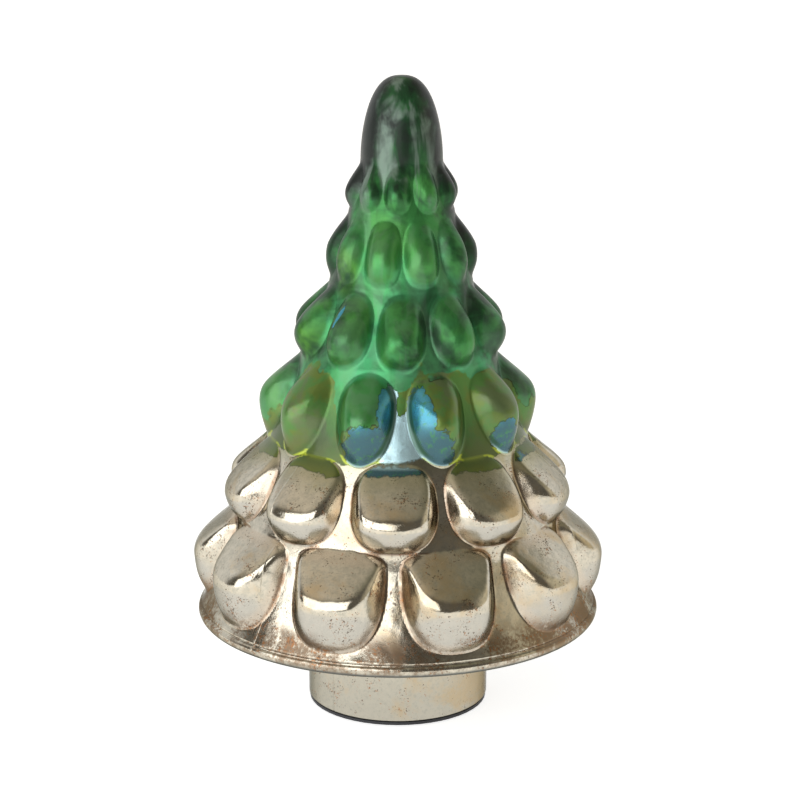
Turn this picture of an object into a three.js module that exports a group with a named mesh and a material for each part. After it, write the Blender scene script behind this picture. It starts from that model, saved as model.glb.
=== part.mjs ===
// A mould-blown glass christmas tree ornament, hollow and open at its foot, standing on a plug.
// Millimetres, +Z up. The origin is the centre of the face that it stands on, and -Y is the front.
import * as THREE from 'three';

// Spire above the tiers: a higher taper narrows it later, a lower bluntness rounds its tip more
const SPIRE_HEIGHT = 38;
const SPIRE_TAPER = 1.8;
const SPIRE_BLUNTNESS = 0.38;

// Heights of the six tiers, from the top one down
const TIER_1_HEIGHT = 23.8;
const TIER_2_HEIGHT = 32.3;
const TIER_3_HEIGHT = 34.3;
const TIER_4_HEIGHT = 37;
const TIER_5_HEIGHT = 37.5;
const TIER_6_HEIGHT = 46.7;

// Radii of the smooth web between the lobes, at the crease on top of each tier
const NECK_1_RADIUS = 19;
const NECK_2_RADIUS = 23.6;
const NECK_3_RADIUS = 32.4;
const NECK_4_RADIUS = 45.6;
const NECK_5_RADIUS = 60;
const NECK_6_RADIUS = 77;

// Radii of the lobes at their ridges
const RIDGE_1_RADIUS = 27.2;
const RIDGE_2_RADIUS = 36.6;
const RIDGE_3_RADIUS = 53.4;
const RIDGE_4_RADIUS = 67.8;
const RIDGE_5_RADIUS = 83.6;
const RIDGE_6_RADIUS = 98.3;

// The shapes of the lobes, tier by tier. tuck is how far they draw in from the ridge to their lower
// edge, as a share of the ridge radius. ridgeAt, lobeFrom, lobeWidest and lobeTo are places down the
// tier, as shares of its height: a lobe that reaches past 1 hangs over the crease below it.
// span is a lobe's width in degrees, square the power of its outline, sideSlope the steepness of
// its flanks, crisp the sharpness of its ridge, ease how straight its slope starts (1 is fully
// rounded), and turn the angle of one lobe from the front.
const TIERS = [
  {
    height: TIER_1_HEIGHT, neckRadius: NECK_1_RADIUS, ridgeRadius: RIDGE_1_RADIUS,
    tuck: 0.02, ridgeAt: 0.71, lobeFrom: 0.01, lobeWidest: 0.4, lobeTo: 0.95,
    span: 32, square: 2.1, sideSlope: 1.5, crisp: 2.5, ease: 1, turn: -4.7, columns: 60, rows: 5,
  },
  {
    height: TIER_2_HEIGHT, neckRadius: NECK_2_RADIUS, ridgeRadius: RIDGE_2_RADIUS,
    tuck: 0.01, ridgeAt: 0.73, lobeFrom: 0.02, lobeWidest: 0.42, lobeTo: 0.97,
    span: 33, square: 2.4, sideSlope: 1.5, crisp: 2.5, ease: 1, turn: -14.8, columns: 60, rows: 6,
  },
  {
    height: TIER_3_HEIGHT, neckRadius: NECK_3_RADIUS, ridgeRadius: RIDGE_3_RADIUS,
    tuck: 0.04, ridgeAt: 0.74, lobeFrom: 0.05, lobeWidest: 0.42, lobeTo: 1.03,
    span: 34, square: 2.4, sideSlope: 1.9, crisp: 3, ease: 1, turn: 0.9, columns: 80, rows: 7,
  },
  {
    height: TIER_4_HEIGHT, neckRadius: NECK_4_RADIUS, ridgeRadius: RIDGE_4_RADIUS,
    tuck: 0.045, ridgeAt: 0.68, lobeFrom: 0.01, lobeWidest: 0.34, lobeTo: 1.13,
    span: 31, square: 2, sideSlope: 1.5, crisp: 4, ease: 1.1, turn: -16.3, columns: 80, rows: 8,
  },
  {
    height: TIER_5_HEIGHT, neckRadius: NECK_5_RADIUS, ridgeRadius: RIDGE_5_RADIUS,
    tuck: 0.045, ridgeAt: 0.69, lobeFrom: 0.03, lobeWidest: 0.45, lobeTo: 1.03,
    span: 33, square: 2.6, sideSlope: 1.8, crisp: 5, ease: 1.4, turn: -1.3, columns: 100, rows: 8,
  },
  {
    height: TIER_6_HEIGHT, neckRadius: NECK_6_RADIUS, ridgeRadius: RIDGE_6_RADIUS,
    tuck: 0.045, ridgeAt: 0.52, lobeFrom: 0.01, lobeWidest: 0.18, lobeTo: 0.94,
    span: 31.5, square: 2.7, sideSlope: 1.8, crisp: 5, ease: 1.25, turn: -19.3, columns: 100, rows: 8,
  },
];
const LOBES = 10;
const WEB_FLARE = 1.25;
const RIDGE_ARCH = 0.2;

// Brim, underside and foot
const BRIM_RADIUS = 95.8;
const BEAD_THICKNESS = 6.2;
const BEAD_CREASE = 1.6;
const PAN_RISE = 1.5;
const FOOT_RADIUS = 43.2;
const FOOT_HEIGHT = 41.9;
const FOOT_FILLET = 5;
const FOOT_ROUND = 1.2;
const WALL = 3;
const INNER_SOFTENING = 0.7;

// Closure in the foot: a moulded plug, the ring that grips the glass, and a felt pad
const CLEARANCE = 0.3;
const FLANGE_THICKNESS = 1.4;
const FLANGE_INSET = 0.5;
const SKIRT_HEIGHT = 16;
const SKIRT_WALL = 2.4;
const SKIRT_GAP = 1.4;
const PLUG_FLOOR = 2;
const RING_HEIGHT = 3.2;
const RING_DEPTH = 1.2;
const RING_DROP = 4;
const PAD_THICKNESS = 1.2;
const PAD_PROUD = 0.6;
const PAD_INSET = 2.4;

// Facets
const UPPER_SHARE = 0.56;
const INNER_ROWS = 3;
const SPIRE_ROWS = 6;
const SPIRE_COLUMNS = 40;
const FOOT_COLUMNS = 50;
const INNER_COLUMNS = 40;
const BEAD_STEPS = 4;
const ROUND_STEPS = 3;

const radians = THREE.MathUtils.degToRad;

// Heights of the main levels above the face that the part stands on
const footBottom = PAD_PROUD + FLANGE_THICKNESS + CLEARANCE;
const panLevel = footBottom + FOOT_HEIGHT;
const beadTop = panLevel + BEAD_THICKNESS;
const spireBottom = TIERS.reduce((level, tier) => level + tier.height, beadTop);
const tipLevel = spireBottom + SPIRE_HEIGHT;
const beadNeck = BRIM_RADIUS - BEAD_CREASE;

// Stacks the tiers under the spire and works out what follows from their sizes
function stackTiers() {
  let top = spireBottom;
  return TIERS.map((tier, index) => {
    const next = TIERS[index + 1];
    const placed = {
      ...tier,
      top,
      footRadius: next ? next.neckRadius : beadNeck,
      hemRadius: tier.ridgeRadius * (1 - tier.tuck),
      ridgeDrop: tier.ridgeAt * tier.height,
    };
    top -= tier.height;
    return placed;
  });
}

const tiers = stackTiers();

// Radius of the smooth web between the lobes of a tier, at a level within it
function webRadius(tier, level) {
  const share = THREE.MathUtils.clamp((tier.top - level) / tier.height, 0, 1);
  return tier.neckRadius + (tier.footRadius - tier.neckRadius) * share ** WEB_FLARE;
}

// Radius of the lobes' faces: a rounded slope down to the ridge, then a steep band below it.
// The ridge lies lowest in the middle of the lobe and arches up to its sides.
function faceRadius(tier, drop, across) {
  const ridgeDrop = tier.ridgeDrop * (1 - RIDGE_ARCH * across ** 2);
  if (drop < ridgeDrop) {
    const eased = (Math.max(drop, 0) / ridgeDrop) ** tier.ease;
    const rise = Math.sin((Math.PI / 2) * eased);
    return tier.neckRadius + (tier.ridgeRadius - tier.neckRadius) * rise;
  }
  const share = (drop - ridgeDrop) / (tier.height - ridgeDrop);
  return tier.ridgeRadius + (tier.hemRadius - tier.ridgeRadius) * share;
}

// The lower of two heights, with the edge where they meet rounded: a higher power is crisper
function roundedLower(a, b, power) {
  if (a <= 0 || b <= 0) {
    return 0;
  }
  return (a * b) / (a ** power + b ** power) ** (1 / power);
}

// How far a tier's lobes stand out of the web at a level. inset draws their outline in by a length.
function lobeRelief(tier, angle, level, web, inset) {
  const pitch = 360 / LOBES;
  const turned = angle - tier.turn;
  const offset = Math.abs(turned - pitch * Math.round(turned / pitch));
  const halfWidth = web * radians(tier.span / 2) - inset;
  const drop = tier.top - level;
  const widest = tier.lobeWidest * tier.height;
  const end = (drop < widest ? tier.lobeFrom : tier.lobeTo) * tier.height;
  const across = (web * radians(offset)) / halfWidth;
  const along = Math.abs(drop - widest) / (Math.abs(end - widest) - inset);
  const reach = (across ** tier.square + along ** tier.square) ** (1 / tier.square);
  const side = tier.sideSlope * halfWidth * (1 - reach);
  return roundedLower(side, faceRadius(tier, drop, across) - web, tier.crisp);
}

// Radius of the lobed glass inside a tier. The lobes of the tiers above and below may reach into it.
function lobedRadius(tier, angle, level, inset) {
  const web = webRadius(tier, level);
  const reliefs = tiers.map((other) => lobeRelief(other, angle, level, web, inset));
  return [web, Math.max(...reliefs)];
}

// Radius of the spire at a height above its lower end
function spireRadius(rise) {
  const share = Math.min(rise / SPIRE_HEIGHT, 1);
  return NECK_1_RADIUS * (1 - share ** SPIRE_TAPER) ** SPIRE_BLUNTNESS;
}

// A ring of points: one radius for each of its columns, turned so that one lies at the start angle
function ring(level, columns, start, radiusAt) {
  const pitch = 360 / columns;
  return Array.from({ length: columns }, (_, column) => {
    const angle = pitch * column + (start % pitch);
    const radius = radiusAt(angle);
    return new THREE.Vector3(radius * Math.sin(radians(angle)), -radius * Math.cos(radians(angle)), level);
  });
}

function plainRing(radius, level, columns) {
  return ring(level, columns, 0, () => radius);
}

// Points of an arc in the radius and height plane, after its first point
function arcSteps(centreRadius, centreLevel, size, from, to, steps) {
  return Array.from({ length: steps }, (_, step) => {
    const angle = radians(from + ((to - from) * (step + 1)) / steps);
    return [centreRadius + size * Math.cos(angle), centreLevel + size * Math.sin(angle)];
  });
}

// Heights of the spire's rings above its lower end, from the tip down and closer at the tip
function spireRises(height, rows) {
  return Array.from({ length: rows }, (_, row) => height * Math.cos((Math.PI / 2) * ((row + 1) / (rows + 1))));
}

// Drops of a tier's rings below its upper crease
function tierDrops(tier, rows) {
  const upperRows = Math.round(rows * UPPER_SHARE);
  const lowerRows = rows - upperRows;
  const upper = Array.from({ length: upperRows }, (_, row) => (tier.ridgeDrop * row) / upperRows);
  const band = tier.height - tier.ridgeDrop;
  const lower = Array.from({ length: lowerRows }, (_, row) => tier.ridgeDrop + (band * row) / lowerRows);
  return [...upper, ...lower];
}

// Rings of the outside, from the tip down to the lowest tier
function outerRings() {
  const rings = [[new THREE.Vector3(0, 0, tipLevel)]];
  for (const rise of spireRises(SPIRE_HEIGHT, SPIRE_ROWS)) {
    rings.push(plainRing(spireRadius(rise), spireBottom + rise, SPIRE_COLUMNS));
  }
  for (const tier of tiers) {
    for (const drop of tierDrops(tier, tier.rows)) {
      const level = tier.top - drop;
      const radiusAt = (angle) => {
        const [web, relief] = lobedRadius(tier, angle, level, 0);
        return web + relief;
      };
      rings.push(ring(level, tier.columns, tier.turn, radiusAt));
    }
  }
  return rings;
}

// Outline of brim, underside and foot, from the crease above the bead down to the foot's mouth
function footOutline() {
  const bead = BEAD_THICKNESS / 2;
  const beadCentre = BRIM_RADIUS - bead;
  const filletCentre = FOOT_RADIUS + FOOT_FILLET;
  return [
    [beadNeck, beadTop],
    ...arcSteps(beadCentre, panLevel + bead, bead, 60, -90, BEAD_STEPS),
    [filletCentre, panLevel + PAN_RISE],
    ...arcSteps(filletCentre, panLevel + PAN_RISE - FOOT_FILLET, FOOT_FILLET, 90, 180, ROUND_STEPS),
    [FOOT_RADIUS, footBottom + FOOT_ROUND],
    ...arcSteps(FOOT_RADIUS - FOOT_ROUND, footBottom + FOOT_ROUND, FOOT_ROUND, 0, -90, ROUND_STEPS),
    [FOOT_RADIUS - WALL, footBottom],
  ];
}

// Outline of the inside, from the foot's mouth up to the lowest tier
function innerFootOutline() {
  const inside = FOOT_RADIUS - WALL;
  const floorLevel = panLevel + PAN_RISE + WALL;
  const bend = FOOT_FILLET + WALL;
  return [
    [inside, floorLevel - bend],
    ...arcSteps(inside + bend, floorLevel - bend, bend, 180, 90, ROUND_STEPS),
    [beadNeck - WALL * 2, floorLevel],
  ];
}

// Rings of the inside, from the lowest tier up to the spire
function innerRings() {
  const rings = [];
  for (const tier of [...tiers].reverse()) {
    for (const drop of tierDrops(tier, INNER_ROWS).reverse()) {
      const level = tier.top - drop;
      if (level < panLevel + PAN_RISE + WALL * 2) {
        continue;
      }
      const radiusAt = (angle) => {
        const [web, relief] = lobedRadius(tier, angle, level, WALL);
        return web + INNER_SOFTENING * relief - WALL;
      };
      rings.push(ring(level, INNER_COLUMNS, tier.turn, radiusAt));
    }
  }
  const innerSpire = SPIRE_HEIGHT - WALL;
  for (const rise of spireRises(innerSpire, INNER_ROWS).reverse()) {
    const radius = spireRadius((rise * SPIRE_HEIGHT) / innerSpire) - WALL;
    rings.push(plainRing(radius, spireBottom + rise, INNER_COLUMNS));
  }
  rings.push([new THREE.Vector3(0, 0, tipLevel - WALL)]);
  return rings;
}

// Joins two rings with triangles by walking round both, so that they may differ in columns
function joinRings(faces, upper, upperStart, lower, lowerStart) {
  let i = 0;
  let j = 0;
  while (i < upper || j < lower) {
    const a = upperStart + (i % upper);
    const b = lowerStart + (j % lower);
    const stepUpper = (i + 1) / upper <= (j + 1) / lower;
    if (stepUpper && upper > 1) {
      i += 1;
      faces.push(a, b, upperStart + (i % upper));
    } else if (lower > 1 && j < lower) {
      j += 1;
      faces.push(a, b, lowerStart + (j % lower));
    } else {
      break;
    }
  }
}

// A closed skin through rings that starts and ends in a single point
function skin(rings) {
  const geometry = new THREE.BufferGeometry();
  const faces = [];
  let start = 0;
  for (let index = 0; index < rings.length - 1; index += 1) {
    const next = start + rings[index].length;
    joinRings(faces, rings[index].length, start, rings[index + 1].length, next);
    start = next;
  }
  geometry.setFromPoints(rings.flat());
  geometry.setIndex(faces);
  geometry.computeVertexNormals();
  return geometry;
}

function glassBody() {
  const outline = [...footOutline(), ...innerFootOutline()];
  const footRings = outline.map(([radius, level]) => plainRing(radius, level, FOOT_COLUMNS));
  return skin([...outerRings(), ...footRings, ...innerRings()]);
}

// A turned solid from its outline in radius and height, standing on the Z axis
function turned(outline, columns) {
  const points = outline.map(([radius, level]) => new THREE.Vector2(radius, level));
  const geometry = new THREE.LatheGeometry(points, columns);
  geometry.rotateX(Math.PI / 2);
  return geometry;
}

const skirtRadius = FOOT_RADIUS - WALL - SKIRT_GAP;
const flangeTop = PAD_PROUD + FLANGE_THICKNESS;
const skirtTop = flangeTop + SKIRT_HEIGHT;
const ringTop = skirtTop - RING_DROP;
const grooveRadius = FOOT_RADIUS - WALL - CLEARANCE - RING_DEPTH - CLEARANCE;
const padRadius = FOOT_RADIUS - PAD_INSET;

// Flange under the foot, skirt up inside it with a groove for the ring, and a recess for the pad
function basePlug() {
  const flangeRadius = FOOT_RADIUS - FLANGE_INSET;
  const padTop = PAD_THICKNESS + CLEARANCE;
  return turned([
    [0, padTop],
    [padRadius + CLEARANCE, padTop],
    [padRadius + CLEARANCE, PAD_PROUD],
    [flangeRadius, PAD_PROUD],
    [flangeRadius, flangeTop],
    [skirtRadius, flangeTop],
    [skirtRadius, ringTop - RING_HEIGHT - CLEARANCE],
    [grooveRadius, ringTop - RING_HEIGHT - CLEARANCE],
    [grooveRadius, ringTop + CLEARANCE],
    [skirtRadius, ringTop + CLEARANCE],
    [skirtRadius, skirtTop],
    [skirtRadius - SKIRT_WALL, skirtTop],
    [skirtRadius - SKIRT_WALL, padTop + PLUG_FLOOR],
    [0, padTop + PLUG_FLOOR],
  ], FOOT_COLUMNS);
}

function sealRing() {
  const outer = FOOT_RADIUS - WALL - CLEARANCE;
  return turned([
    [outer - RING_DEPTH, ringTop - RING_HEIGHT],
    [outer, ringTop - RING_HEIGHT],
    [outer, ringTop],
    [outer - RING_DEPTH, ringTop],
    [outer - RING_DEPTH, ringTop - RING_HEIGHT],
  ], FOOT_COLUMNS);
}

function feltPad() {
  return turned([
    [0, 0],
    [padRadius, 0],
    [padRadius, PAD_THICKNESS],
    [0, PAD_THICKNESS],
  ], FOOT_COLUMNS);
}

function piece(name, geometry, colour, roughness, metalness) {
  const material = new THREE.MeshStandardMaterial({ color: colour, roughness, metalness });
  const mesh = new THREE.Mesh(geometry, material);
  mesh.name = name;
  return mesh;
}

const tree = new THREE.Group();
tree.add(
  piece('glass_body', glassBody(), 0xb9ae9a, 0.2, 0.9),
  piece('base_plug', basePlug(), 0x2b2c2e, 0.6, 0),
  piece('seal_ring', sealRing(), 0x9a9a96, 0.8, 0),
  piece('felt_pad', feltPad(), 0x23302a, 1, 0),
);

export default tree;
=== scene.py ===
"""Looks of a glass christmas tree: silvered, aged glass below and satin green lacquer above."""
import math

import bpy
import numpy as np
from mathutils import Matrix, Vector


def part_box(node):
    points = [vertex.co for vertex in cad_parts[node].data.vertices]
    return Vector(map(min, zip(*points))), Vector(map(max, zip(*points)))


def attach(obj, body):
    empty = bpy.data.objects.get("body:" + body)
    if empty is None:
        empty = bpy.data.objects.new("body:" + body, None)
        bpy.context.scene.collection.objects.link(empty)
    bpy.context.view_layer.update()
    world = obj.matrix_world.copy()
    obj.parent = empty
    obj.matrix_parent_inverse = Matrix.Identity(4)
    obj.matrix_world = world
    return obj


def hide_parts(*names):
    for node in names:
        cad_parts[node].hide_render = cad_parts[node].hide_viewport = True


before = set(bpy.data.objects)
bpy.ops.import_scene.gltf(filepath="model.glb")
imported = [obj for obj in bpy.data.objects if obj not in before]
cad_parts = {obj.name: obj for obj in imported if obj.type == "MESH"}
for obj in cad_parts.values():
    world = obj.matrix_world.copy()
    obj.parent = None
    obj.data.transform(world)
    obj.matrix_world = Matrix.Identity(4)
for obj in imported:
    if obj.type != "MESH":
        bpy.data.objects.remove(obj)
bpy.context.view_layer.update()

MM = 0.001

# Levels of the glass in millimetres, from the frame
glass_low, glass_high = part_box("glass_body")
TIP_LEVEL = glass_high.z / MM
FOOT_BOTTOM = glass_low.z / MM

# Spire
SPIRE_HEIGHT = 38.0
SPIRE_TAPER = 1.8
SPIRE_BLUNTNESS = 0.38
SPIRE_BOTTOM = TIP_LEVEL - SPIRE_HEIGHT

# Brim, underside and foot
BRIM_RADIUS = 95.8
BEAD_THICKNESS = 6.2
BEAD_CREASE = 1.6
BEAD_GROOVE = 0.7
BEAD_ARC_START = 42
PAN_RISE = 1.5
FOOT_RADIUS = 43.2
FOOT_HEIGHT = 41.9
FOOT_FILLET = 5.0
FOOT_ROUND = 1.2
WALL = 3.0
INNER_SOFTENING = 0.7
INNER_LEAST_RADIUS = 1.0
PAN_LEVEL = FOOT_BOTTOM + FOOT_HEIGHT
BEAD_TOP = PAN_LEVEL + BEAD_THICKNESS
BEAD_NECK = BRIM_RADIUS - BEAD_CREASE

# Tiers from top to bottom, close to those of the solid. Lengths are in millimetres and angles in
# degrees. ridge_at, start, widest and end are places down the lobe, as shares of the tier's height.
# neck is the web's radius at the top and flare how late the web widens. ridge is the radius of the
# lobes' ridge and tuck how far they draw in below it, as a share of that radius. span is a lobe's
# width, square the power of its outline, slope the steepness of its flanks and blend how softly
# they leave the web. crisp and edge are the sharpness of the edges round the face and along the
# ridge, ease is how straight the slope starts, bulge how far the wall below the ridge bends back
# at its sides, and turn the angle of one lobe from the front.
TIERS = [
    dict(height=23.8, neck=19.0, flare=1.25, ridge=28.4, tuck=0.03, ridge_at=0.84,
         start=0.01, widest=0.54, end=0.97, span=36.0, square=2.2, slope=2.2, blend=0.5,
         crisp=2.4, edge=4.0, ease=1.0, bulge=1.5, turn=-4.7),
    dict(height=32.3, neck=24.6, flare=1.25, ridge=37.4, tuck=0.02, ridge_at=0.79,
         start=0.02, widest=0.48, end=0.99, span=35.5, square=2.5, slope=2.2, blend=0.4,
         crisp=2.4, edge=4.0, ease=1.0, bulge=2.5, turn=-17.5),
    dict(height=34.3, neck=33.4, flare=1.25, ridge=54.9, tuck=0.04, ridge_at=0.80,
         start=0.02, widest=0.48, end=1.03, span=34.5, square=2.4, slope=2.3, blend=0.25,
         crisp=2.8, edge=5.0, ease=1.15, bulge=3.5, turn=0.9),
    dict(height=37.0, neck=46.2, flare=1.2, ridge=69.7, tuck=0.045, ridge_at=0.71,
         start=0.01, widest=0.38, end=1.13, span=31.0, square=2.0, slope=1.6, blend=0.12,
         crisp=3.5, edge=6.0, ease=1.15, bulge=5.0, turn=-16.3),
    dict(height=37.5, neck=60.0, flare=1.05, ridge=84.0, tuck=0.06, ridge_at=0.73,
         start=0.03, widest=0.45, end=1.03, span=33.0, square=2.6, slope=1.8, blend=0.04,
         crisp=5.0, edge=9.0, ease=1.4, bulge=7.5, turn=-1.3),
    dict(height=46.7, neck=77.0, flare=1.6, ridge=99.2, tuck=0.045, ridge_at=0.52,
         start=0.01, widest=0.18, end=0.94, span=31.5, square=2.7, slope=1.8, blend=0.04,
         crisp=5.0, edge=9.0, ease=1.25, bulge=9.0, turn=-19.3),
]
LOBES = 10
PITCH = 360.0 / LOBES
LIP = 1.0

# The blown glass leans a little to the right: by how much, and the levels where that starts and ends
LEAN = 1.9
LEAN_FROM = 140.0
LEAN_TO = 225.0

# Mould seams, as angles from the front
SEAMS = (-44.0, 76.0, 196.0)

# Blue stains in the lacquer: angle, level, half width and half height
STAINS = [
    (-5.0, 157.0, 4.5, 10.0),
    (-12.0, 139.0, 12.0, 11.5),
    (1.5, 141.0, 7.0, 12.5),
    (10.5, 153.0, 6.0, 13.0),
    (14.5, 139.0, 11.0, 10.5),
    (-1.0, 130.5, 14.5, 4.5),
    (52.0, 140.0, 6.0, 9.0),
    (63.0, 121.0, 8.0, 9.0),
    (-40.0, 195.0, 1.2, 4.5),
    (139.0, 150.0, 22.0, 17.0),
    (-128.0, 141.0, 19.0, 20.0),
    (-166.0, 186.0, 12.0, 11.0),
]

# Bright places in the lacquer, thin lacquer and, on the lit left lobes, painted highlight: angle, level,
# half width and half height
THIN_AND_LIT_PLACES = [
    (-53.0, 213.0, 9.0, 15.0),
    (-66.0, 181.0, 9.0, 12.0),
    (160.0, 200.0, 14.0, 16.0),
]

# Painted shade on two sides of the lacquer, the right darker than the left as seen from the front: the angle
# and share of each side with the levels where it sets in. Then the share and levels of the thicker, darker
# lacquer round the spire
SHADED_SIDES = ((105.0, 1.0), (-105.0, 0.8))
SIDE_SHADE_NARROWNESS = 4.0
SIDE_SHADE_FROM = 125.0
SIDE_SHADE_FULL = 225.0
THICK_SPIRE = 0.6
SPIRE_THICK_FROM = SPIRE_BOTTOM - 24
SPIRE_THICK_FULL = SPIRE_BOTTOM + 4

# The border between green and olive lacquer: angle and level
OLIVE_BORDER = [
    (-180, 160), (-100, 138), (-75, 150), (-62, 172), (-42, 172), (-34, 158),
    (-26, 147), (-8, 150), (0, 168), (14, 174), (38, 173), (70, 168),
    (84, 150), (130, 140), (180, 160),
]

# The side where the silver is most tarnished to tan
TAN_SIDE = 80.0

# Levels where the lacquer ends on the lobes and on the web, and the top of its bright rim
LACQUER_END = 127.3
WEB_END = 132.0
RIM_TOP = 136.0

# Levels where an effect starts and where it is full
MINT_LEVELS = (240.0, 195.0)
STREAK_LEVELS = (SPIRE_BOTTOM - 34, SPIRE_BOTTOM - 4)
MOSS_LEVELS = (146.0, 132.0)
SHADY_WEB_LEVELS = (158.0, 142.0)
CLEAR_BLUE_LEVELS = (149.0, 165.0)
DARK_FLANK_LEVELS = (134.0, 138.0)
OLIVE_GLOSS_LEVELS = (172.0, 158.0)
ABOVE_BEAD_LEVELS = (BEAD_TOP - 1, BEAD_TOP + 1)
FOOT_LEVELS = (PAN_LEVEL, PAN_LEVEL - 4)
BEAD_SHADE_TOP = (BEAD_TOP - 3.6, BEAD_TOP - 5)
BEAD_SHADE_BOTTOM = (PAN_LEVEL - 3, PAN_LEVEL - 0.5)

# Mesh. The blurs are the widths, in rows, over which ridges and fine edges are told from the rest
COLUMNS = 600
ROW_STEP = 0.75
INNER_ROW_STEP = 3.0
SPIRE_ROWS = 60
RIDGE_BLUR = 3.0
EDGE_BLUR = 1.3

# Colours of the glass, linear
SILVER = (0.62, 0.57, 0.47, 1)
SHADED_SILVER = (0.48, 0.467, 0.425, 1)
GREY = (0.38, 0.37, 0.31, 1)
TAN = (0.52, 0.39, 0.22, 1)
DUST = (0.60, 0.50, 0.39, 1)
BROWN = (0.17, 0.105, 0.06, 1)
RUST = (0.36, 0.15, 0.05, 1)
SPECK = (0.10, 0.07, 0.05, 1)
BEAD_UNDERSIDE_SHADE = (0.11, 0.12, 0.12, 1)
GREEN = (0.055, 0.26, 0.07, 1)
MINT = (0.065, 0.37, 0.15, 1)
LIME = (0.11, 0.34, 0.04, 1)
OLIVE = (0.14, 0.215, 0.045, 1)
MOSS = (0.15, 0.16, 0.035, 1)
KHAKI = (0.135, 0.19, 0.08, 1)
DEEP = (0.02, 0.075, 0.03, 1)
DARK = (0.012, 0.025, 0.015, 1)
SMOKE = (0.022, 0.028, 0.026, 1)
GREY_DUST_AND_SHEEN = (0.20, 0.27, 0.23, 1)
BLUE = (0.06, 0.33, 0.48, 1)
SLATE = (0.035, 0.115, 0.16, 1)
SKY = (0.62, 0.90, 1.0, 1)
THIN = (0.24, 0.28, 0.13, 1)
RIM = (0.44, 0.53, 0.05, 1)
GLASS_TINT = (0.35, 0.35, 0.32, 1)

# Colours of the plug, the ring and the pad, with their roughness
PLAIN_PIECES = (
    ("base_plug", (0.03, 0.03, 0.035), 0.6),
    ("seal_ring", (0.5, 0.5, 0.48), 0.8),
    ("felt_pad", (0.10, 0.13, 0.11), 1.0),
)

# Room, floor, lamp and camera, in metres, watts and degrees
WHITE = (1, 1, 1, 1)
LEFT_CEILING = (0.83, 0.76, 0.65, 1)
RIGHT_CEILING = (0.25, 0.24, 0.18, 1)
LEFT_WALL = (0.15, 0.14, 0.12, 1)
RIGHT_WALL = (0.75, 0.68, 0.52, 1)
FLOOR_COLOUR = (0.8, 0.8, 0.8, 1)
FLOOR_REACH = 8.0
FLOOR_SHOWN_GLOW = 0.75
FLOOR_LIGHT_GLOW = 0.40
KEY_PLACE = (-0.98, -1.16, 0.57)
KEY_TARGET = (0, 0, 0.25)
KEY_SIZE = (2.4, 1.0)
KEY_POWER = 18
KEY_ROLL = 8
CAMERA_PLACE = (0.0011, -1.0, 0.4008)
CAMERA_TILT = 90 - 14.22
CAMERA_SENSOR = 36.0
CAMERA_LENS = 98.3


def place_tiers():
    """Add each tier's levels and what follows from its sizes."""
    top = SPIRE_BOTTOM
    necks = [tier["neck"] for tier in TIERS[1:]] + [BEAD_NECK]
    for tier, foot in zip(TIERS, necks):
        tier["top"] = top
        tier["foot"] = foot
        tier["hem"] = tier["ridge"] * (1 - tier["tuck"])
        top -= tier["height"]


def web_radius(level):
    """Radius of the smooth web between the lobes at each level."""
    radius = np.full_like(level, TIERS[0]["neck"])
    for tier in TIERS:
        share = np.clip((tier["top"] - level) / tier["height"], 0, 1)
        flared = tier["neck"] + (tier["foot"] - tier["neck"]) * share ** tier["flare"]
        radius = np.where(level <= tier["top"], flared, radius)
    return radius


def rounded_lower(a, b, power):
    """The lower of two heights, with the edge where they meet rounded."""
    least = 1e-4
    safe_a = np.maximum(a, least)
    safe_b = np.maximum(b, least)
    lower = safe_a * safe_b / (safe_a ** power + safe_b ** power) ** (1 / power)
    return np.where((a > 0) & (b > 0), lower, 0)


def face_relief(tier, drop, across, web):
    """A lobe's front over the web: a rounded slope cut off by a steep wall that bends back at the sides."""
    ridge = tier["ridge_at"] * tier["height"]
    rise = np.sin(math.pi / 2 * np.clip(drop / ridge, 0, 1) ** tier["ease"])
    slope = tier["neck"] + (tier["ridge"] - tier["neck"]) * rise
    share = np.maximum((drop - ridge) / (tier["height"] - ridge), 0)
    drawn_in = (tier["ridge"] - tier["hem"]) * share + tier["bulge"] * across ** 2
    wall = tier["ridge"] + LIP - drawn_in
    return rounded_lower(slope - web, wall - web, tier["edge"])


def lobe_relief(tier, angle, level, web):
    """How far a tier's lobes stand out of the web."""
    turned = angle - tier["turn"]
    offset = np.abs(turned - PITCH * np.round(turned / PITCH))
    half_width = web * math.radians(tier["span"] / 2)
    drop = tier["top"] - level
    widest = tier["widest"] * tier["height"]
    reach_up = widest - tier["start"] * tier["height"]
    reach_down = tier["end"] * tier["height"] - widest
    across = offset / (tier["span"] / 2)
    along = np.abs(drop - widest) / np.where(drop < widest, reach_up, reach_down)
    reach = (across ** tier["square"] + along ** tier["square"]) ** (1 / tier["square"])
    depth = np.maximum(1 - reach, 0)
    side = tier["slope"] * half_width * depth ** 2 / (depth + tier["blend"])
    return rounded_lower(side, face_relief(tier, drop, across, web), tier["crisp"])


def spire_radius(level):
    share = np.clip((level - SPIRE_BOTTOM) / SPIRE_HEIGHT, 0, 1)
    return TIERS[0]["neck"] * (1 - share ** SPIRE_TAPER) ** SPIRE_BLUNTNESS


def body_radius(angle, level):
    """Radius of the glass from the bead up to the tip, and how far it stands out of the web."""
    web = web_radius(level)
    relief = np.zeros_like(angle)
    for tier in TIERS:
        relief = np.maximum(relief, lobe_relief(tier, angle, level, web))
    core = np.where(level > SPIRE_BOTTOM, spire_radius(level), web)
    return core + relief, relief


def arc(centre_radius, centre_level, size, start, stop, steps):
    """Points of an arc in the radius and level plane, after its first point."""
    turns = np.radians(np.linspace(start, stop, steps + 1)[1:])
    return [(centre_radius + size * math.cos(t), centre_level + size * math.sin(t)) for t in turns]


def line(start, stop, steps):
    """Points of a straight line, after its first point."""
    shares = np.linspace(0, 1, steps + 1)[1:]
    return [tuple(a + (b - a) * s for a, b in zip(start, stop)) for s in shares]


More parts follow.
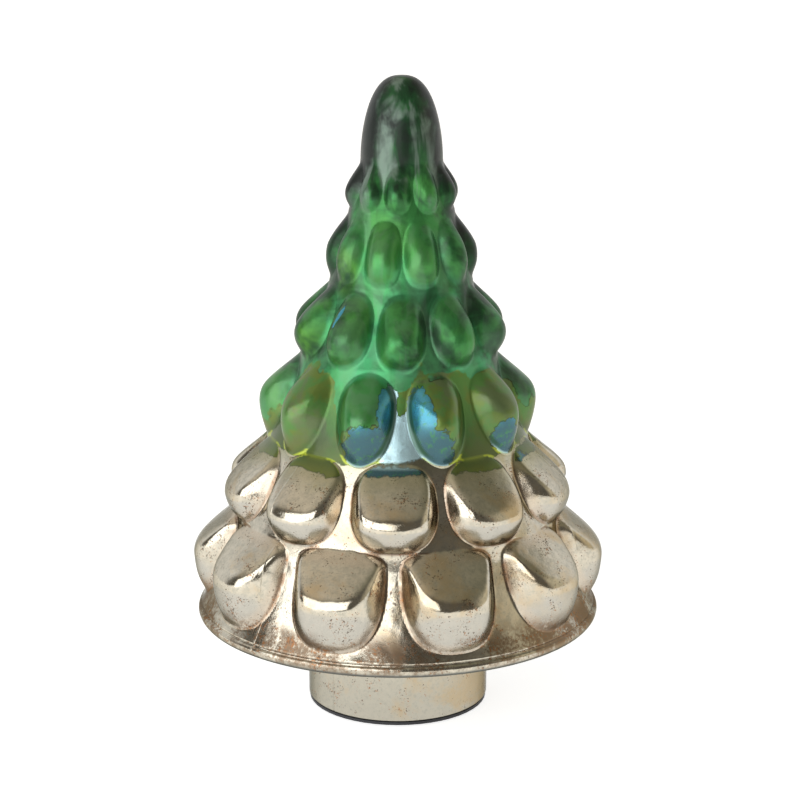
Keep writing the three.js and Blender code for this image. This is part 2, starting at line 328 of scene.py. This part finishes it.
def foot_outline():
    """Bead, underside and foot from the crease over the bead to the inside of the foot."""
    bead = BEAD_THICKNESS / 2
    centre = BRIM_RADIUS - bead
    crease = (BEAD_NECK, BEAD_TOP)
    groove = (BEAD_NECK - BEAD_GROOVE, BEAD_TOP - BEAD_GROOVE)
    under = (centre, PAN_LEVEL)
    fillet = (FOOT_RADIUS + FOOT_FILLET, PAN_LEVEL + PAN_RISE)
    fillet_end = (FOOT_RADIUS, PAN_LEVEL + PAN_RISE - FOOT_FILLET)
    round_start = (FOOT_RADIUS, FOOT_BOTTOM + FOOT_ROUND)
    round_end = (FOOT_RADIUS - FOOT_ROUND, FOOT_BOTTOM)
    inside = FOOT_RADIUS - WALL
    floor_level = PAN_LEVEL + PAN_RISE + WALL
    bend = FOOT_FILLET + WALL
    return [
        *line(crease, groove, 2),
        *arc(centre, PAN_LEVEL + bead, bead, BEAD_ARC_START, -90, 22),
        *line(under, fillet, 30),
        *arc(fillet[0], fillet_end[1], FOOT_FILLET, 90, 180, 10),
        *line(fillet_end, round_start, 40),
        *arc(round_end[0], round_start[1], FOOT_ROUND, 0, -90, 6),
        *line(round_end, (inside, FOOT_BOTTOM), 2),
        *line((inside, FOOT_BOTTOM), (inside, floor_level - bend), 8),
        *arc(inside + bend, floor_level - bend, bend, 180, 90, 8),
        *line((inside + bend, floor_level), (BEAD_NECK - 2 * WALL, floor_level), 6),
    ]


def blurred(field, width):
    """The field with its detail smoothed out over a width in rows and columns."""
    rows, columns = field.shape
    tall = np.concatenate([field[::-1], field, field[::-1]])
    row_waves = np.fft.fftfreq(3 * rows)[:, None]
    column_waves = np.fft.fftfreq(columns)[None, :]
    keep = np.exp(-2 * (math.pi * width) ** 2 * (row_waves ** 2 + column_waves ** 2))
    return np.real(np.fft.ifft2(np.fft.fft2(tall) * keep))[rows:2 * rows]


def eased(value, low, high):
    """0 below low, 1 above high and smooth between them."""
    share = np.clip((value - low) / (high - low), 0, 1)
    return share * share * (3 - 2 * share)


def angle_from(angle, centre):
    """Angle from a centre, between -180 and 180 degrees."""
    return (angle - centre + 180) % 360 - 180


def towards(angle, side):
    """1 on one side of the tree, falling to 0 on the other."""
    return 0.5 + 0.5 * np.cos(np.radians(angle - side))


def place_field(places, angle, level, radius):
    """How deep each point lies in one of the round places: above 0 inside and falling away outside."""
    field = np.full_like(angle, -1.0)
    for centre, height, half_width, half_height in places:
        across = np.radians(angle_from(angle, centre)) * radius / half_width
        along = (level - height) / half_height
        field = np.maximum(field, 1 - np.sqrt(across ** 2 + along ** 2))
    return field


def lacquer_shade_and_thickness(angle, level):
    """How dark the lacquer is, 0 to 1: painted shade on two sides, and thicker lacquer towards the spire."""
    sides = [share * towards(angle, side) ** SIDE_SHADE_NARROWNESS for side, share in SHADED_SIDES]
    rise = np.clip((level - SIDE_SHADE_FROM) / (SIDE_SHADE_FULL - SIDE_SHADE_FROM), 0, 1)
    on_spire = THICK_SPIRE * eased(level, SPIRE_THICK_FROM, SPIRE_THICK_FULL)
    return np.clip(np.maximum.reduce(sides) * rise + on_spire, 0, 1)


def olive_height(angle, level):
    """Height over the wavy border below which the lacquer turns olive."""
    places, heights = zip(*OLIVE_BORDER)
    return level - np.interp(angle, places, heights)


def seam_distance(angle, radius):
    """Distance to the nearest mould seam in millimetres."""
    spread = [np.abs(np.radians(angle_from(angle, seam))) * radius for seam in SEAMS]
    return np.minimum.reduce(spread)


def glass_rings():
    """Angle, radius, level and shading fields of every ring, from the tip down and up inside."""
    angles = (np.arange(COLUMNS) * 360.0 / COLUMNS + 180) % 360 - 180
    shares = np.cos(np.linspace(0, math.pi / 2, SPIRE_ROWS + 1)[1:])
    spire_levels = SPIRE_BOTTOM + SPIRE_HEIGHT * shares
    side_levels = np.arange(SPIRE_BOTTOM - ROW_STEP, BEAD_TOP + ROW_STEP / 2, -ROW_STEP)
    body_levels = np.concatenate([spire_levels, side_levels, [BEAD_TOP]])
    body_angle, body_level = np.meshgrid(angles, body_levels)
    radius, relief = body_radius(body_angle, body_level)

    outline = np.array(foot_outline())
    foot_radius = np.repeat(outline[:, :1], COLUMNS, axis=1)
    foot_level = np.repeat(outline[:, 1:], COLUMNS, axis=1)

    inner_bottom = PAN_LEVEL + PAN_RISE + 2 * WALL
    inner_levels = np.arange(inner_bottom, TIP_LEVEL - 2 * WALL, INNER_ROW_STEP)
    inner_angle, inner_level = np.meshgrid(angles, inner_levels)
    inner_radius, inner_relief = body_radius(inner_angle, inner_level)
    inner_radius = inner_radius - (1 - INNER_SOFTENING) * inner_relief - WALL
    inner_radius = np.maximum(inner_radius, INNER_LEAST_RADIUS)

    all_radius = np.concatenate([radius, foot_radius, inner_radius])
    all_level = np.concatenate([body_level, foot_level, inner_level])
    all_angle = np.repeat(angles[None, :], len(all_level), axis=0)
    no_relief = np.zeros((len(foot_level) + len(inner_level), COLUMNS))
    fields = {
        "relief": np.concatenate([relief, no_relief]),
        "ridge": np.concatenate([radius - blurred(radius, RIDGE_BLUR), no_relief]),
        "edge": np.concatenate([radius - blurred(radius, EDGE_BLUR), no_relief]),
        "stain": place_field(STAINS, all_angle, all_level, all_radius),
        "bright": place_field(THIN_AND_LIT_PLACES, all_angle, all_level, all_radius),
        "depth": lacquer_shade_and_thickness(all_angle, all_level),
        "seam": seam_distance(all_angle, all_radius),
        "olive": olive_height(all_angle, all_level),
        "tan": towards(all_angle, TAN_SIDE),
    }
    return all_angle, all_radius, all_level, fields


def grid_mesh(name, angle, radius, level, first_end, last_end):
    """A closed skin through rings, with a single point before the first and after the last."""
    rows, columns = radius.shape
    turn = np.radians(angle)
    points = np.stack([radius * np.sin(turn), -radius * np.cos(turn), level], axis=2).reshape(-1, 3)
    points = np.concatenate([points, [[0, 0, first_end]], [[0, 0, last_end]]])
    points[:, 0] += LEAN * eased(points[:, 2], LEAN_FROM, LEAN_TO)
    points *= MM
    index = np.arange(rows * columns).reshape(rows, columns)
    after = np.roll(index, -1, axis=1)
    quads = np.stack([index[:-1], index[1:], after[1:], after[:-1]], axis=2).reshape(-1, 4)
    first = [[rows * columns, a, b] for a, b in zip(index[0], after[0])]
    last = [[rows * columns + 1, b, a] for a, b in zip(index[-1], after[-1])]
    mesh = bpy.data.meshes.new(name)
    mesh.from_pydata(points.tolist(), [], quads.tolist() + first + last)
    mesh.polygons.foreach_set("use_smooth", [True] * len(mesh.polygons))
    mesh.update()
    return mesh


def add_attribute(mesh, name, values):
    attribute = mesh.attributes.new(name, "FLOAT", "POINT")
    attribute.data.foreach_set("value", np.asarray(values, dtype=np.float32))


def link(obj):
    bpy.context.scene.collection.objects.link(obj)
    return obj


def faded(share, a, b):
    """The colour that lies a share of the way from a to b."""
    return tuple(x + (y - x) * share for x, y in zip(a, b))


class Nodes:
    """A node tree, with short ways to add what the materials here need."""

    def __init__(self, tree):
        self.tree = tree

    def add(self, kind, inputs=None, **settings):
        node = self.tree.nodes.new(kind)
        for key, value in settings.items():
            setattr(node, key, value)
        for key, value in (inputs or {}).items():
            self.feed(node.inputs[key], value)
        return node

    def feed(self, socket, value):
        if isinstance(value, bpy.types.NodeSocket):
            self.tree.links.new(value, socket)
        elif value is not None:
            socket.default_value = value

    def maths(self, operation, a, b=None, c=None):
        return self.add("ShaderNodeMath", {0: a, 1: b, 2: c}, operation=operation).outputs[0]

    def scaled(self, value, factor, shift):
        """The value times a factor, plus a shift."""
        return self.maths("MULTIPLY_ADD", value, factor, shift)

    def size(self, value):
        """The value without its sign."""
        return self.maths("ABSOLUTE", value)

    def highest(self, *values):
        result = values[0]
        for value in values[1:]:
            result = self.maths("MAXIMUM", result, value)
        return result

    def product(self, *values):
        result = values[0]
        for value in values[1:]:
            result = self.maths("MULTIPLY", result, value)
        return result

    def total(self, *values):
        result = values[0]
        for value in values[1:]:
            result = self.maths("ADD", result, value)
        return result

    def steps(self, value, low, high):
        """0 below low, 1 above high and smooth between them; falls if low is above high."""
        inputs = {"Value": value, "From Min": low, "From Max": high}
        return self.add("ShaderNodeMapRange", inputs, interpolation_type="SMOOTHSTEP").outputs[0]

    def attribute(self, name):
        return self.add("ShaderNodeAttribute", attribute_name=name).outputs["Fac"]

    def axes(self, vector):
        """The three parts of a vector."""
        return self.add("ShaderNodeSeparateXYZ", {0: vector}).outputs

    def noise(self, where, size, detail=3.0, roughness=0.5, warp=0.0):
        """Noise whose lumps are about size millimetres across."""
        inputs = {"Vector": where, "Scale": 1 / (size * MM), "Detail": detail,
                  "Roughness": roughness, "Distortion": warp}
        return self.add("ShaderNodeTexNoise", inputs).outputs["Fac"]

    def mix(self, factor, a, b, **settings):
        node = self.add("ShaderNodeMix", {"Factor": factor}, **settings)
        self.feed(node.inputs["A"], a)
        self.feed(node.inputs["B"], b)
        return node.outputs["Result"]

    def between(self, factor, a, b):
        """A number that goes from a to b as the factor goes from 0 to 1."""
        return self.mix(factor, a, b)

    def blend(self, factor, a, b):
        """A colour that goes from a to b as the factor goes from 0 to 1."""
        return self.mix(factor, a, b, data_type="RGBA")


def new_material(name):
    material = bpy.data.materials.new(name)
    material.use_nodes = True
    return material, Nodes(material.node_tree), material.node_tree.nodes["Principled BSDF"]


def silver_coat(nodes, level, noises):
    """Colour of the silver with its tarnish and painted shade, and how dull it is."""
    fine, grain, clouds, crowd = (noises[name] for name in ("fine", "grain", "clouds", "crowd"))
    relief = nodes.attribute("relief")
    facing = nodes.axes(nodes.add("ShaderNodeNewGeometry").outputs["Normal"])
    above_bead = nodes.steps(level, *ABOVE_BEAD_LEVELS)
    under = nodes.product(nodes.steps(facing[2], 0.02, -0.12), above_bead)
    on_foot = nodes.steps(level, *FOOT_LEVELS)

    # Grey mottling and pits, painted shade on the down-facing walls under the ridges, which are also
    # rougher, and dusty flanks
    mottled = nodes.product(nodes.steps(fine, 0.62, 0.36), nodes.scaled(on_foot, -0.6, 1.0))
    silver = nodes.blend(mottled, SILVER, faded(0.45, SILVER, GREY))
    pitted = nodes.product(nodes.steps(grain, 0.52, 0.36), nodes.steps(fine, 0.60, 0.45))
    silver = nodes.blend(nodes.product(pitted, 0.5), silver, GREY)
    # The foot greyed all round: painted shade under the brim
    silver = nodes.blend(nodes.product(on_foot, 0.5), silver, GREY)
    # The down-facing walls turn a darker silver: painted shade
    silver = nodes.blend(nodes.product(under, 0.75), silver, SHADED_SILVER)
    flank = nodes.product(nodes.steps(relief, 0.2, 0.9), nodes.steps(relief, 6.5, 3.0))
    flank = nodes.product(flank, above_bead, nodes.steps(fine, 0.25, 0.5))
    silver = nodes.blend(nodes.product(flank, 0.5), silver, DUST)

    # Clouds of tan
    tan_share = nodes.scaled(nodes.attribute("tan"), 0.13, -0.06)
    tan = nodes.steps(nodes.total(clouds, tan_share, nodes.product(fine, 0.3)), 0.66, 0.88)
    tan = nodes.product(tan, nodes.scaled(under, -0.45, 0.65))
    silver = nodes.blend(tan, silver, TAN)

    # Brown in the hollows and over the bead, and rusty lines round the lobes
    hollow = nodes.steps(nodes.attribute("ridge"), -0.6, -1.6)
    hollow = nodes.product(hollow, nodes.steps(crowd, 0.30, 0.55))
    over_bead = nodes.steps(nodes.size(nodes.maths("SUBTRACT", level, BEAD_TOP + 2)), 14, 2)
    worn = nodes.steps(nodes.total(clouds, nodes.product(grain, 0.5)), 0.62, 0.80)
    brown = nodes.highest(hollow, nodes.product(over_bead, worn))
    silver = nodes.blend(nodes.product(brown, 0.85), silver, BROWN)
    lined = nodes.steps(nodes.attribute("edge"), -0.08, -0.30)
    lined = nodes.product(lined, nodes.steps(crowd, 0.36, 0.54))
    silver = nodes.blend(nodes.product(lined, 0.5), silver, faded(0.35, BROWN, RUST))

    # Rust, specks, and painted shade under the bead, over the brim's underside and the top of the foot
    rust = nodes.total(grain, nodes.product(crowd, 0.5), nodes.product(brown, 0.06))
    rust = nodes.steps(rust, 0.88, 0.97)
    silver = nodes.blend(nodes.product(rust, 0.7), silver, RUST)
    speck_limit = nodes.total(nodes.scaled(crowd, -0.62, 0.97), nodes.product(on_foot, 0.03))
    speck = nodes.steps(nodes.maths("SUBTRACT", noises["specks"], speck_limit), 0.0, 0.06)
    silver = nodes.blend(nodes.product(speck, 0.75), silver, SPECK)
    # Painted shade under the bead
    bead_shade = nodes.product(nodes.steps(level, *BEAD_SHADE_TOP), nodes.steps(level, *BEAD_SHADE_BOTTOM))
    silver = nodes.blend(nodes.product(bead_shade, 0.85), silver, BEAD_UNDERSIDE_SHADE)

    dull = nodes.product(nodes.highest(brown, rust, speck, bead_shade), 0.25)
    dull = nodes.total(dull, nodes.product(nodes.highest(under, flank), 0.15), nodes.product(tan, 0.08))
    return silver, dull


def green_lacquer(nodes, where, level, noises):
    """The upper lacquer: green with paler mint valleys that also carry a painted highlight, lime places that
    are partly painted highlight, painted shade on two sides, darker where thicker on the spire, and streaky
    on the spire, the grey streaks partly a painted sheen.
    """
    patchy, clouds = noises["patchy"], noises["clouds"]
    valley = nodes.steps(nodes.attribute("relief"), 3.0, 0.0)
    # The side away from the tan is the lit side. The valleys turn paler mint: thinner lacquer and a painted
    # highlight, stronger on the lit side
    lit_side = nodes.maths("SUBTRACT", 1.0, nodes.attribute("tan"))
    mint_and_highlight = nodes.product(valley, nodes.steps(level, *MINT_LEVELS))
    mint_and_highlight = nodes.product(mint_and_highlight, nodes.scaled(lit_side, 0.25, 0.32))
    mint_and_highlight = nodes.total(nodes.product(patchy, 0.8), mint_and_highlight)
    lacquer = nodes.blend(nodes.steps(mint_and_highlight, 0.40, 0.82), GREEN, MINT)

    # Lime patches weighted to the lit side, and the bright places: thin lacquer and painted highlight
    lime = nodes.noise(where, 22, detail=2, warp=0.3)
    limed = nodes.product(nodes.steps(lime, 0.42, 0.62), nodes.scaled(lit_side, 0.25, 0.1))
    bright = nodes.steps(nodes.total(nodes.attribute("bright"), lime), 0.3, 1.2)
    lacquer = nodes.blend(nodes.highest(limed, bright), lacquer, LIME)

    # Painted shade on two sides, and thicker lacquer up the spire, turn the green dark
    shade_and_thickness = nodes.total(nodes.attribute("depth"), nodes.scaled(clouds, 2.4, -1.15))
    lacquer = nodes.blend(nodes.steps(shade_and_thickness, 0.05, 0.6), lacquer, DEEP)
    tall = nodes.add("ShaderNodeMapping", {"Vector": where, "Scale": (1, 1, 0.2)}).outputs[0]
    streaks = nodes.noise(tall, 9, detail=3, warp=0.4)
    streaky = nodes.highest(nodes.steps(level, *STREAK_LEVELS), 0.22)
    # Pale grey streaks, dusty and partly a painted sheen, fullest up the spire, then dark streaks
    lacquer = nodes.blend(nodes.product(nodes.steps(streaks, 0.46, 0.60), streaky, 0.8), lacquer, GREY_DUST_AND_SHEEN)
    lacquer = nodes.blend(nodes.product(nodes.steps(streaks, 0.46, 0.36), streaky, 0.8), lacquer, DARK)
    # Darkest where the painted side shade and the thicker lacquer are deepest
    return nodes.blend(nodes.steps(shade_and_thickness, 0.5, 1.0), lacquer, SMOKE)


def olive_lacquer(nodes, lacquer, level, noises):
    """The lacquer turned olive below a wavy border, with a dark mark along that border."""
    patchy, fine, clouds = noises["patchy"], noises["fine"], noises["clouds"]
    relief = nodes.attribute("relief")
    olive = nodes.blend(nodes.steps(noises["crowd"], 0.42, 0.56), OLIVE, faded(0.5, OLIVE, GREEN))
    olive = nodes.blend(nodes.steps(clouds, 0.50, 0.62), olive, KHAKI)
    olive = nodes.blend(nodes.product(nodes.steps(level, *MOSS_LEVELS), 0.75), olive, MOSS)
    height = nodes.total(nodes.attribute("olive"), nodes.scaled(patchy, 40, -20), nodes.product(fine, 3))
    lacquer = nodes.blend(nodes.steps(height, 1.5, -0.5), lacquer, olive)
    shady = nodes.product(nodes.steps(relief, 3.0, 0.0), nodes.steps(level, *SHADY_WEB_LEVELS))
    lacquer = nodes.blend(nodes.product(shady, 0.45), lacquer, DEEP)
    mark = nodes.product(nodes.steps(nodes.size(height), 1.3, 0.2), nodes.steps(relief, 0.5, 2.5))
    mark = nodes.product(mark, nodes.steps(clouds, 0.40, 0.55))
    return nodes.blend(nodes.product(mark, 0.75), lacquer, DARK)


def stained_lacquer(nodes, where, lacquer, level, noises):
    """The lacquer with blue stains, their dark green flanks and their outlines, and where it is stained."""
    patchy, fine = noises["patchy"], noises["fine"]
    relief = nodes.attribute("relief")
    wander = nodes.scaled(nodes.noise(where, 5, detail=5, roughness=0.6, warp=0.5), 1.1, -0.55)
    stain = nodes.total(nodes.attribute("stain"), wander)
    stained = nodes.steps(stain, 0.0, 0.05)
    clear = nodes.steps(nodes.total(level, nodes.product(patchy, 12)), *CLEAR_BLUE_LEVELS)
    blue = nodes.blend(clear, SLATE, BLUE)
    blue = nodes.blend(nodes.product(nodes.steps(fine, 0.52, 0.62), 0.6), blue, GREEN)
    blue = nodes.blend(nodes.steps(relief, 1.2, 0.0), blue, SKY)
    lacquer = nodes.blend(nodes.product(stained, 0.92), lacquer, blue)

    flank = nodes.product(nodes.steps(relief, 0.0, 0.12), nodes.steps(relief, 3.0, 1.6))
    flank = nodes.highest(flank, nodes.steps(nodes.attribute("edge"), -0.06, -0.16))
    flank = nodes.product(flank, nodes.steps(level, *DARK_FLANK_LEVELS))
    lacquer = nodes.blend(nodes.product(flank, stained, 0.85), lacquer, DEEP)
    stained = nodes.product(stained, nodes.scaled(flank, -0.9, 1.0))
    tide = nodes.steps(nodes.size(stain), 0.07, 0.0)
    return nodes.blend(nodes.product(tide, 0.6), lacquer, DARK), stained


def lacquer_end(nodes, lacquer, level, noises):
    """The lacquer with its bright rim and ragged end, where it covers, and where a thin film lies below."""
    rim = nodes.steps(nodes.attribute("edge"), -0.04, -0.15)
    rim = nodes.product(rim, nodes.steps(level, RIM_TOP, RIM_TOP - 1))
    lacquer = nodes.blend(nodes.product(rim, 0.9), lacquer, RIM)
    web = nodes.steps(nodes.attribute("relief"), 1.2, 0.0)
    end = nodes.scaled(web, WEB_END - LACQUER_END, LACQUER_END)
    ragged = nodes.total(nodes.product(noises["clouds"], 12), nodes.product(noises["fine"], 3))
    reach = nodes.total(level, ragged, nodes.maths("SUBTRACT", -7.5, end))
    covered = nodes.steps(reach, -0.4, 0.6)
    fringe = nodes.steps(nodes.size(reach), 0.9, 0.2)
    lacquer = nodes.blend(nodes.product(fringe, 0.6), lacquer, DARK)
    thinned = nodes.product(nodes.steps(reach, -9, 0), 0.4)
    return lacquer, covered, thinned


def glass_material():
    """Mirror silver with tarnish below, satin lacquer above, and glossy stains in it."""
    material, nodes, shader = new_material("silvered_glass")
    where = nodes.add("ShaderNodeTexCoord").outputs["Object"]
    level = nodes.maths("DIVIDE", nodes.axes(where)[2], MM)
    noises = {
        "patchy": nodes.noise(where, 14, detail=4, warp=0.6),
        "clouds": nodes.noise(where, 26, detail=4, roughness=0.6, warp=0.4),
        "fine": nodes.noise(where, 3.2, detail=6, roughness=0.75),
        "grain": nodes.noise(where, 1.5, detail=4, roughness=0.7),
        "specks": nodes.noise(where, 0.9, detail=2),
        "crowd": nodes.noise(where, 9, detail=3),
    }
    silver, dull = silver_coat(nodes, level, noises)
    lacquer = green_lacquer(nodes, where, level, noises)
    lacquer = olive_lacquer(nodes, lacquer, level, noises)
    lacquer, stained = stained_lacquer(nodes, where, lacquer, level, noises)
    lacquer, covered, thinned = lacquer_end(nodes, lacquer, level, noises)
    silver = nodes.blend(thinned, silver, THIN)
    nodes.feed(shader.inputs["Base Color"], nodes.blend(covered, silver, lacquer))

    depth = nodes.attribute("depth")
    metallic = nodes.total(nodes.product(stained, 0.2), nodes.scaled(depth, -0.4, 0.6))
    nodes.feed(shader.inputs["Metallic"], nodes.between(covered, 1.0, metallic))
    satin = nodes.scaled(stained, -0.08, 0.34)
    rough = nodes.between(covered, nodes.maths("ADD", dull, 0.06), satin)
    nodes.feed(shader.inputs["Roughness"], rough)
    shader.inputs["Specular Tint"].default_value = GLASS_TINT
    olive_gloss = nodes.product(nodes.steps(level, *OLIVE_GLOSS_LEVELS), 0.25)
    gloss = nodes.total(olive_gloss, nodes.product(stained, 0.2), nodes.scaled(depth, -0.15, 0.15))
    nodes.feed(shader.inputs["Coat Weight"], nodes.between(covered, 0.1, gloss))
    shader.inputs["Coat Roughness"].default_value = 0.1

    # Relief too fine for the mesh: uneven glass, pits and the mould seams
    seam = nodes.steps(nodes.attribute("seam"), 0.7, 0.15)
    seam = nodes.product(seam, nodes.scaled(covered, -0.8, 1.0), 0.15)
    lumps = nodes.product(nodes.noise(where, 9, detail=1), 0.35)
    pits = nodes.total(nodes.product(noises["fine"], 0.05), nodes.product(noises["grain"], 0.03))
    height = nodes.total(lumps, pits, seam)
    bump = nodes.add("ShaderNodeBump", {"Height": height, "Strength": 1.0, "Distance": MM})
    nodes.feed(shader.inputs["Normal"], bump.outputs[0])
    return material


def make_glass():
    angle, radius, level, fields = glass_rings()
    mesh = grid_mesh("tree_glass", angle, radius, level, TIP_LEVEL, TIP_LEVEL - WALL)
    for name, field in fields.items():
        add_attribute(mesh, name, [*field.reshape(-1), 0, 0])
    glass = link(bpy.data.objects.new("tree_glass", mesh))
    mesh.materials.append(glass_material())
    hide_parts("glass_body")
    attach(glass, "tree")


def plain_material(name, colour, roughness):
    material, _, shader = new_material(name)
    shader.inputs["Base Color"].default_value = (*colour, 1)
    shader.inputs["Roughness"].default_value = roughness
    return material


def dress_frame():
    for node, colour, roughness in PLAIN_PIECES:
        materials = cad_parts[node].data.materials
        materials.clear()
        materials.append(plain_material(node, colour, roughness))


def make_floor():
    """A floor that is white to the camera and in the glass, and keeps the shadow."""
    mesh = bpy.data.meshes.new("floor")
    signs = ((-1, -1), (1, -1), (1, 1), (-1, 1))
    mesh.from_pydata([(x * FLOOR_REACH, y * FLOOR_REACH, 0) for x, y in signs], [], [(0, 1, 2, 3)])
    floor = link(bpy.data.objects.new("floor", mesh))
    material, nodes, shader = new_material("floor")
    shader.inputs["Base Color"].default_value = FLOOR_COLOUR
    shader.inputs["Roughness"].default_value = 1.0
    shader.inputs["Specular IOR Level"].default_value = 0.0
    shader.inputs["Emission Color"].default_value = WHITE
    rays = nodes.add("ShaderNodeLightPath").outputs
    shown = nodes.highest(rays["Is Camera Ray"], rays["Is Glossy Ray"])
    glow = nodes.between(shown, FLOOR_LIGHT_GLOW, FLOOR_SHOWN_GLOW)
    nodes.feed(shader.inputs["Emission Strength"], glow)
    mesh.materials.append(material)


def area_light(name, place, target, size, power, roll):
    data = bpy.data.lights.new(name, "AREA")
    data.shape = "RECTANGLE"
    data.size, data.size_y = size
    data.energy = power
    lamp = link(bpy.data.objects.new(name, data))
    lamp.location = place
    direction = Vector(target) - Vector(place)
    lamp.rotation_euler = direction.to_track_quat("-Z", "Y").to_euler()
    lamp.rotation_euler.rotate_axis("Z", math.radians(roll))


def make_light():
    """A white backdrop behind, a dim room in front and above, and one large softbox at front left."""
    world = bpy.data.worlds.new("studio")
    bpy.context.scene.world = world
    world.use_nodes = True
    nodes = Nodes(world.node_tree)
    background = world.node_tree.nodes["Background"]
    right, back, up = nodes.axes(nodes.add("ShaderNodeTexCoord").outputs["Generated"])
    ceiling = nodes.blend(nodes.steps(right, -0.9, 0.6), LEFT_CEILING, RIGHT_CEILING)
    sideways = nodes.product(nodes.total(right, back), 0.7)
    walls = nodes.blend(nodes.steps(sideways, 0.0, 0.6), LEFT_WALL, RIGHT_WALL)
    lifted = nodes.scaled(nodes.size(right), 0.27, up)
    room = nodes.blend(nodes.steps(lifted, 0.66, 0.93), walls, ceiling)
    behind = nodes.product(nodes.steps(back, 0.05, 0.4), nodes.steps(up, 0.8, 0.45))
    room = nodes.blend(behind, room, WHITE)
    camera = nodes.add("ShaderNodeLightPath").outputs["Is Camera Ray"]
    nodes.feed(background.inputs["Color"], nodes.blend(camera, room, WHITE))
    background.inputs["Strength"].default_value = 1.0
    area_light("key", KEY_PLACE, KEY_TARGET, KEY_SIZE, KEY_POWER, KEY_ROLL)


def make_camera():
    data = bpy.data.cameras.new("camera")
    camera = link(bpy.data.objects.new("camera", data))
    camera.location = CAMERA_PLACE
    camera.rotation_euler = (math.radians(CAMERA_TILT), 0, 0)
    data.sensor_width = CAMERA_SENSOR
    data.lens = CAMERA_LENS
    bpy.context.scene.camera = camera


bpy.context.scene.view_settings.view_transform = "Standard"
place_tiers()
make_camera()
make_light()
make_floor()
make_glass()
dress_frame()
